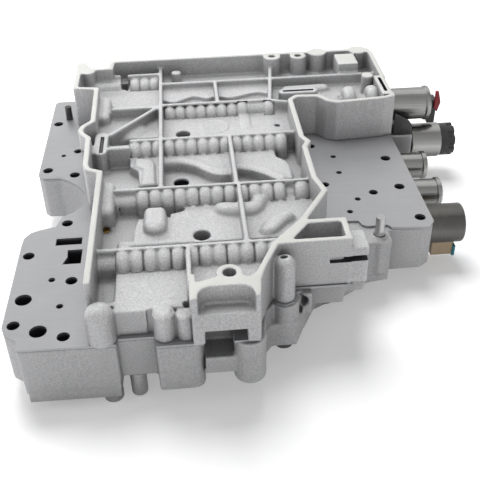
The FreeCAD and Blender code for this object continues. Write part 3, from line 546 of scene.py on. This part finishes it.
lobeRows = {  # left end, number of lobes, line and radius
    "a": dict(start=62.0, count=12, y=32.2, crown=9.8),
    "b": dict(start=72.2, count=12, y=94.0, crown=9.4),
    "c": dict(start=65.8, count=14, y=157.0, crown=9.2),
    "d": dict(start=90.0, count=7, y=solenoidY, crown=8.6),
    "rear": dict(start=63.0, count=3, y=262.0, crown=8.0),
    "bEnd": dict(start=171.0, count=1, y=94.0, crown=9.4, pitch=9.0),
    "cEnd": dict(start=166.5, count=1, y=157.0, crown=9.6, pitch=8.0),
    "dEnd": dict(start=144.25, count=1, y=solenoidY, crown=9.6),
    "dLast": dict(start=164.0, count=1, y=solenoidY, crown=9.6),
}
tubes = {  # centre lines of the raised oil tracks
    "horn": dict(points=((124, 79, 14.5), (131, 75.5, 15), (139, 75, 15.5), (145, 77.5, 15.5), (148, 85, 15)),
                 radius=5.2, blend=2.0),
    "hook": dict(points=((149.5, 53, 14.5), (152.5, 58.5, 15), (157.5, 63, 15.3), (163, 64.8, 15.3)),
                 radius=4.7, blend=1.6),
    "stepLeft": dict(points=((64, 51.2, 13.2), (71, 49.6, 13.4), (79, 49.4, 13.6), (86, 49.2, 13.4),
                             (96, 49.4, 13.6), (104, 48.9, 13.4)), radius=2.6, blend=1.5),
    "lumpA": dict(points=((84, -8, 12), (88, -13.5, 11.5), (91, -15.5, 11)), radius=4.6, blend=3.0),
    "lumpB": dict(points=((91, -6, 13), (98, -6.5, 12.5), (100, -13, 10)), radius=4.4, blend=3.0),
    "endPad": dict(points=((148.6, 203, 11.6), (148.4, 182, 11.2)), radius=5.6, blend=1.2),
    "branch": dict(points=((58, 178, 13), (66, 181, 13.5), (72, 190, 13.5)), radius=4.5, blend=2.5),
    "waveLeft": dict(points=((88, 142.6, 12.8), (102, 141.9, 12.8), (113, 136, 12.8), (120, 128.6, 12.8),
                             (127, 124.6, 12.8), (133.5, 125, 12.8)), radius=4.1, blend=1.0),
    "waveRight": dict(points=((138.5, 131, 12.8), (148.5, 127.3, 12.8), (158, 121, 12.8), (166, 112.5, 12.8)),
                      radius=4.1, blend=1.0),
}
pads = {  # outline, top and edge radius of the raised pads
    "tongueBase": dict(points=[(76, 84), (76, 60), (91.5, 60), (91.5, 84)], top=9.2, edge=1.0),
    "frontLeft": dict(points=[(82, -7.5), (82.6, -12), (84.5, -16), (88, -18.4), (92, -16), (93, -11),
                              (92, -1)], top=17.4, edge=2.0),
    "frontRight": dict(points=[(94.6, -2), (94.3, -13), (97, -17.5), (101.5, -18), (104.5, -14), (104, -2)],
                       top=15.6, edge=2.0),
    "lugShelf": dict(points=[(104, -5), (134.5, -5), (150, 18), (158, 34), (104, 34)], top=16.0, edge=0.8),
    "lowPad": dict(points=[(144.5, 181), (152.5, 181), (152.5, 203), (144.5, 203)], top=17.0, edge=1.2),
    "leftPad": dict(points=[(69.6, 147), (81, 143.5), (83.6, 137), (84.2, 111), (74, 111.5), (74.8, 131),
                            (69, 136)], top=17.4, edge=2.2),
}
upperSlots = {  # low and high corners of the slots and square holes
    "rowCBoss": ((46.5, 143.6, 8), (48.4, 165.0, 33)),
    "damper": ((181.0, 222.6, 8), (204.0, 224.4, 33)),
    "pocketFront": ((181.0, 17.0, 15.6), (203.0, 26.0, 18.6)),
    "rightRim": ((253.2, 199.0, 22), (255.2, 222.0, 33)),
    "rearSquare": ((56.0, 256.5, 5), (61.0, 270.0, 33)),
    "windowTop": ((109.0, -30.0, -3), (131.0, -4.5, 9)),
}
upperHoles = {  # x, y, radius and the height of the bottom
    "bolt": (123.5, -2.0, 3.5, -3.0), "post": (154.0, 13.0, 2.0, 20.0),
    "wallLeft": (178.0, 273.0, 2.6, 8.0), "wallRight": (199.0, 272.0, 2.6, 8.0),
    "small": (171.8, 184.4, 2.0, 7.0), "front": (100.3, -7.8, 2.0, 5.0),
    "floorA": (111.0, 54.0, 5.0, -3.0), "floorB": (100.0, 125.0, 5.0, -3.0),
    "floorC": (103.0, 179.0, 5.0, -3.0), "notch": (39.6, 167.6, 1.6, 9.0),
}
lobeGap, lobeBlend, lobeTop = 0.35, 0.4, 26  # mm cut round a lobe, blend at its foot, top of its window
valleyDepth = 2.5  # mm between a lobe's crown and the valley beside it
castSoftness = 0.7  # mm, the cast edges' rounding
slotEdge = 0.3  # mm, the rounding inside slots and holes


def addLobes(field):
    for row in lobeRows.values():
        pitch = row.get("pitch", lobePitch)
        x0, x1, y, crown = row["start"], row["start"] + row["count"] * pitch, row["y"], row["crown"]
        outer = pipe((x0 + 1, y, lobeAxisZ), (x1 - 1, y, lobeAxisZ), crown + lobeGap)
        field.cut((x0 + 0.4, y - crown - 1, shelfZ), (x1 - 0.4, y - 0.3, lobeTop), outer)
        lobes = loaves(x0, row["count"], pitch, y, lobeAxisZ, crown, crown - valleyDepth)
        field.add((x0 - 1, y - crown - 1, floorZ - 2), (x1 + 1, y + crown + 1, lobeTop), lobes, lobeBlend)


def addTracksAndPads(field):
    for tube in tubes.values():
        low, high = reach(tube["points"], tube["radius"] + 3)
        low[2] = floorZ - 3
        field.add(low, high, pathPipe(tube["points"], tube["radius"]), tube["blend"])
    pair = [column(88.0, -12.6, -6, 17, 6.0, 1.5), column(99.0, -13.0, -6, 15.5, 5.2, 1.5)]
    field.cut((79, -27, -2), (103, -8, 24), lambda x, y, z: np.maximum(
        slab(79, 102.6, -27, -9.5, -3, 24, 0.5)(x, y, z),
        -np.minimum(pair[0](x, y, z), pair[1](x, y, z))), 0.4)  # leaves two columns at the front left
    for pad in pads.values():
        low, high = reach(pad["points"], 3)
        field.add((*low, 0), (*high, pad["top"] + 3), ridge(pad["points"], -4, pad["top"], pad["edge"]), 0.8)


def addSolenoidHoops(field):
    y = solenoidY
    field.add((150, 200, 5), (166, 222, 26), pipe((151, y, 15), (165, y, 15), 7.2), 0.5)  # row D's neck
    sleeve = pipe((222, y, 14), (258, y, 14), 8.6)
    field.cut((222.5, 198, 14), (254, 223, 31), lambda x, y, z: np.maximum(
        slab(222.8, 252.0, 199.5, 222.2, 15.0, 40, 1.0)(x, y, z), 0.3 - sleeve(x, y, z)))
    width = 10.0
    for x0 in (224.0, 241.5):
        hoop = loaves(x0, 1, width, y, 19.0, 10.8, 5.5)
        field.add((x0 - 1, 198, 8), (x0 + width + 1, 223, 31), hoop, 0.6)
    rightRim = slab(250.6, 258.0, 194.0, 226.0, 3, rimZ + 3, 0.4)
    field.add((251, 192, 5), (259, 228, 32), rightRim, 0.3)


def upperCasting():
    field = Field((15, -28, -4), (264, 288, 36))
    field.load("upper_body")
    field.extend(rimZ - 1.5, True)
    field.extend(1.5, False)
    field.soften(castSoftness)
    field.cut((75, 75, 10), (92, 87, 25), slab(74, 93, 73, 86.4, 9.2, 26, 0.5))  # behind the tongue
    field.add((74, 58, 7), (93, 84, 24), slab(77.2, 90.2, 58.5, 79.0, 0, 22.0, 3.6), 0.8)  # the tongue
    field.cut((149, 180, 15), (166, 192, 21), slab(149, 166, 180, 192, 16.1, 21, 0.3))  # lower step beside D
    addLobes(field)
    addTracksAndPads(field)
    addSolenoidHoops(field)
    field.add((112, 172, 12), (140, 202, 20), column(126, 187, 10, 16.7, 10.3, 0.4), 0.4)  # round disc
    field.cut((112, 172, 12), (140, 202, 20), column(126, 187, 16.2, 22, 9.2, 0.3), 0.3)
    for low, high in upperSlots.values():
        field.cut([v - 1 for v in low], [v + 1 for v in high],
                  slab(low[0], high[0], low[1], high[1], low[2], high[2], slotEdge))
    for x, y, r, bottom in upperHoles.values():
        field.cut((x - r - 2, y - r - 2, bottom - 1), (x + r + 2, y + r + 2, 36),
                  column(x, y, bottom, 40, r, slotEdge))
    field.clip(low=0.0, high=rimZ)
    return field.mesh("upperCasting")


plateHoles = {  # the holes that the plate and the lower casting share
    "bolts": dict(radius=3.5, places=((6, 236), (6, 165.5), (25.5, 157.5), (26, 98), (6, 65.5), (34, 39),
                                      (6, 3.5), (34, -8), (246, 155), (246.5, 117), (250.5, 80))),
    "large": dict(radius=4.75, places=((8.5, 24.5), (20, -2.5))),
    "medium": dict(radius=3.0, places=((25, 191), (196, 178.5), (197, 125), (227.5, 112))),
    "small": dict(radius=2.0, places=((22.5, 41), (29.5, 17), (209.5, 161.5), (209.5, 139.5), (215.5, 105),
                                      (207.5, 91))),
    "tiny": dict(radius=1.75, places=((15, 185.5),)),
}
plateRounds = [(x, y, group["radius"]) for group in plateHoles.values() for x, y in group["places"]]


def lowerCasting():
    field = Field((-6, -28, -38), (282, 282, 4))
    field.load("lower_body")
    field.extend(-31.5, False)
    field.soften(castSoftness)
    base = [(140, -2), (149, 8), (160, 8), (170, 26), (146, 26)]
    field.add((138, -4, -29), (172, 28, 1), ridge(base, -27, -1.25, 1.5), 1.5)  # under the domed post
    field.add((144, 2, -29), (166, 24, 1), column(154.5, 12, -27, -1.25, 8.4, 1.0), 1.5)
    field.cut((160, 11, -15), (168, 20, 1), column(163.4, 14.6, -14, 4, 1.9, slotEdge))
    field.add((106, -21, -27), (126, -2, -12), slab(106.5, 125.5, -19, -3, -24.5, -13.2, 1.0), 0.4)  # sill
    corner = column(102.2, -14.8, -60, 30, 5.6, 0.2)
    field.cut((101, -27, -34), (110, -14, 0), lambda x, y, z: np.maximum(
        slab(102.2, 108.2, -28, -14.8, -60, 30, 0.2)(x, y, z), -corner(x, y, z)))  # round front corner
    for x, y, r in plateRounds:
        field.cut((x - r - 2, y - r - 2, -13), (x + r + 2, y + r + 2, 4),
                  column(x, y, -12, 8, r + 0.1, slotEdge))
    field.cut((58, -16, -34), (84, 20, -24), slab(61.5, 83.0, -22, 18, -40, -27.5, 0.5))  # over the front foot
    field.clip(low=-33.0)
    return field.mesh("lowerCasting")


def paintHoleShade(made, holes, top, boxes):  # paints painted shade on the faces inside holes and slots, dark where little light reaches them
    holeMargin, boxMargin, lip = 0.5, 0.45, 1.2  # mm, and how deep the paint starts in a slot
    mesh = made.data
    centres = np.zeros(len(mesh.polygons) * 3, np.float32)
    mesh.polygons.foreach_get("center", centres)
    centres = fromFrame(centres)
    inside = np.zeros(len(mesh.polygons), bool)
    for x, y, r in holes:
        inside |= (np.hypot(centres[:, 0] - x, centres[:, 1] - y) < r + holeMargin) & (centres[:, 2] < top)
    for low, high in boxes:
        reached = (centres > np.array(low) - boxMargin) & (centres < np.array(high) + boxMargin)
        inside |= reached.all(axis=1) & (centres[:, 2] < high[2] - lip)
    mesh.materials.append(materials["paintedHoleShade"])
    mesh.polygons.foreach_set("material_index", inside.astype(np.int32))


def thin(made):  # down to the limit of triangles
    triangles = sum(len(p.vertices) - 2 for p in made.data.polygons)
    if triangles > triangleLimit:
        modifier = made.modifiers.new("thin", "DECIMATE")
        modifier.ratio = triangleLimit / triangles
        mesh = evaluatedMesh(made)
        made.modifiers.clear()
        made.data = mesh
    note(f"{made.name}: {triangles} triangles, kept {min(triangleLimit, triangles)}")
    return made


upper = thin(upperCasting())
finishCasting(upper, "castUpper", "upper_body")
slotTops = {"rowCBoss": 30.5, "damper": 30.0, "pocketFront": 19.7, "rightRim": rimZ + 0.9}
darkBoxes = [(upperSlots[name][0], (*upperSlots[name][1][:2], top)) for name, top in slotTops.items()]
paintHoleShade(upper, [hole[:3] for hole in upperHoles.values() if hole[3] < 0], 6.0, darkBoxes)
note("upper casting")
lower = thin(lowerCasting())
finishCasting(lower, "castLower", "lower_body")
portBoxes = [((20.5, 74.0, -12.5), (37.5, 82.0, -0.3)), ((26.5, 54.5, -12.5), (38.5, 69.5, -0.3))]
paintHoleShade(lower, plateRounds, -1.4, portBoxes)
note("lower casting")

nodeMaterials = {
    "cast_aluminium": "castLower", "plate_steel": "plateSteel", "zinc_can": "zincCan",
    "valve_steel": "valveSteel", "spring_steel": "springSteel", "dark_steel": "darkSteel",
    "black_plastic": "blackPlastic", "red_plastic": "redPlastic", "pale_plastic": "palePlastic",
    "blue_rubber": "blueRubber", "brass": "brass",
}
for part in frame["record"]["subparts"]:
    node = frame["nodes"][part["node"]]
    node.data.materials.clear()
    node.data.materials.append(materials[nodeMaterials[part["material_slot"]]])
frame["nodes"]["solenoid_5"].data.materials[0] = materials["dullCan"]


def dressNode(name, width, shift=None):  # a bevelled copy of a solid, shown in its place
    sameSpot, flatAngle = 0.000004, 0.6  # m between merged corners, degrees between dissolved faces
    made = bpy.data.objects.new(name + "Dressed", frame["nodes"][name].data.copy())
    scene.collection.objects.link(made)
    work = bmesh.new()
    work.from_mesh(made.data)
    bmesh.ops.remove_doubles(work, verts=work.verts, dist=sameSpot)
    bmesh.ops.dissolve_limit(work, angle_limit=math.radians(flatAngle), verts=work.verts, edges=work.edges)
    if shift:
        start, scale, move = shift
        for vertex in work.verts:
            vertex.co.x = start + (vertex.co.x - start) * scale + move
    work.to_mesh(made.data)
    work.free()
    bevelEdges(made, width, 2)
    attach(made, body)
    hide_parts(name)


dressWidths = {  # mm, the bevel on each visible piece
    "separator_plate": 0.12, "bottom_cover": 0.6, "solenoid_1": 0.4, "solenoid_2": 0.4, "solenoid_3": 0.3,
    "solenoid_4": 0.3, "solenoid_5": 0.4, "solenoid_1_plug": 0.6, "solenoid_1_lock": 0.35,
    "solenoid_2_cap": 0.4, "solenoid_2_bracket": 0.3, "solenoid_5_plug": 0.6, "solenoid_5_seal": 0.4,
    "rear_dowel": 0.4, "front_dowel": 0.5, "clamp_bolts": 0.3, "floor_plug": 0.3,
}
lockShift = (at(290.25, 0).x, 0.55, 3.6 * mm)  # start, scale and move along X that narrow the lock
for name, width in dressWidths.items():
    dressNode(name, width, shift=lockShift if name == "solenoid_1_lock" else None)


def turnedPost(name, x, y, low, high, r, material):
    bpy.ops.mesh.primitive_cylinder_add(vertices=48, radius=r * mm, depth=(high - low) * mm,
                                        location=at(x, y, (low + high) / 2))
    made = bpy.context.object
    made.name = name
    made.data.transform(made.matrix_world)
    made.matrix_world = Matrix()
    made.data.materials.append(materials[material])
    bevelEdges(made, 1.2, 3)
    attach(made, body)


turnedPost("frontFoot", 70.5, -8.5, -44.5, -27.4, 4.6, "castLower")
note("pieces dressed")


def areaLight(name, place, target, size, watts):
    data = bpy.data.lights.new(name, "AREA")
    data.shape = "RECTANGLE"
    data.size, data.size_y = size
    data.energy = watts
    light = bpy.data.objects.new(name, data)
    light.location = place
    light.rotation_euler = (Vector(target) - Vector(place)).to_track_quat("-Z", "Y").to_euler()
    light.visible_glossy = False
    scene.collection.objects.link(light)


def seenRays(tree):  # 1 for rays that show the backdrop, 0 for those that light the part
    path = tree.nodes.new("ShaderNodeLightPath")
    seen = mathNode(tree, "MAXIMUM", path.outputs["Is Camera Ray"], path.outputs["Is Glossy Ray"])
    return mathNode(tree, "MAXIMUM", seen, path.outputs["Is Transmission Ray"])


ground, half = -0.0452, 40  # m, the height just under the feet, and half of the floor's width
floorCorners = [(-half, -half, ground), (half, -half, ground), (half, half, ground), (-half, half, ground)]
floorMesh = bpy.data.meshes.new("floor")
floorMesh.from_pydata(floorCorners, [], [(0, 1, 2, 3)])
floor = bpy.data.objects.new("floor", floorMesh)
scene.collection.objects.link(floor)
floorMaterial, floorTree, floorShader = newMaterial("paleFloor")
floorShader.inputs["Base Color"].default_value = (0.8, 0.8, 0.81, 1)
floorShader.inputs["Roughness"].default_value = 1.0
floorShader.inputs["Specular IOR Level"].default_value = 0.0
floorShader.inputs["Emission Color"].default_value = grey(1)
floorGlow, roomGlow, backdropGlow = 0.34, 0.2, 1.0  # what the camera sees, and what lights the part
floorSeen = mathNode(floorTree, "MULTIPLY", seenRays(floorTree), floorGlow)
floorTree.links.new(floorSeen, floorShader.inputs["Emission Strength"])
floorMesh.materials.append(floorMaterial)

world = bpy.data.worlds.new("studio")
world.use_nodes = True
worldTree = world.node_tree
worldShader = worldTree.nodes["Background"]
worldShader.inputs[0].default_value = grey(1)
worldTree.links.new(mixValues(worldTree, seenRays(worldTree), roomGlow, backdropGlow), worldShader.inputs[1])
scene.world = world
middle = (0.1, -0.1, 0)  # of the part
areaLight("overhead", (0.05, 0.2, 0.9), middle, (0.5, 0.5), 9.5)
areaLight("back", (-0.45, 0.9, 0.75), middle, (0.7, 0.4), 10.0)
areaLight("left", (-0.9, -0.3, 0.5), middle, (0.5, 0.5), 1.5)
areaLight("front", (0.1, -1.1, 0.02), (0.1, -0.25, -0.02), (0.9, 0.2), 1.2)

cameraData = bpy.data.cameras.new("camera")
cameraData.lens = 57.586  # mm
cameraData.sensor_width = 36  # mm
camera = bpy.data.objects.new("camera", cameraData)
cameraPlace = Vector((0.093578, -0.556272, 0.28))
right = Vector((0.99628, -0.08399, -0.01906))
upward = Vector((0.06506, 0.58886, 0.80563))
forward = Vector((0.05644, 0.80388, -0.59214))
turn = Matrix((right, upward, -forward)).transposed()
camera.matrix_world = Matrix.Translation(cameraPlace) @ turn.to_4x4()  # fitted to the photo
scene.collection.objects.link(camera)
scene.camera = camera
scene.view_settings.view_transform = "Standard"

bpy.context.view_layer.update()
note("scene ready")
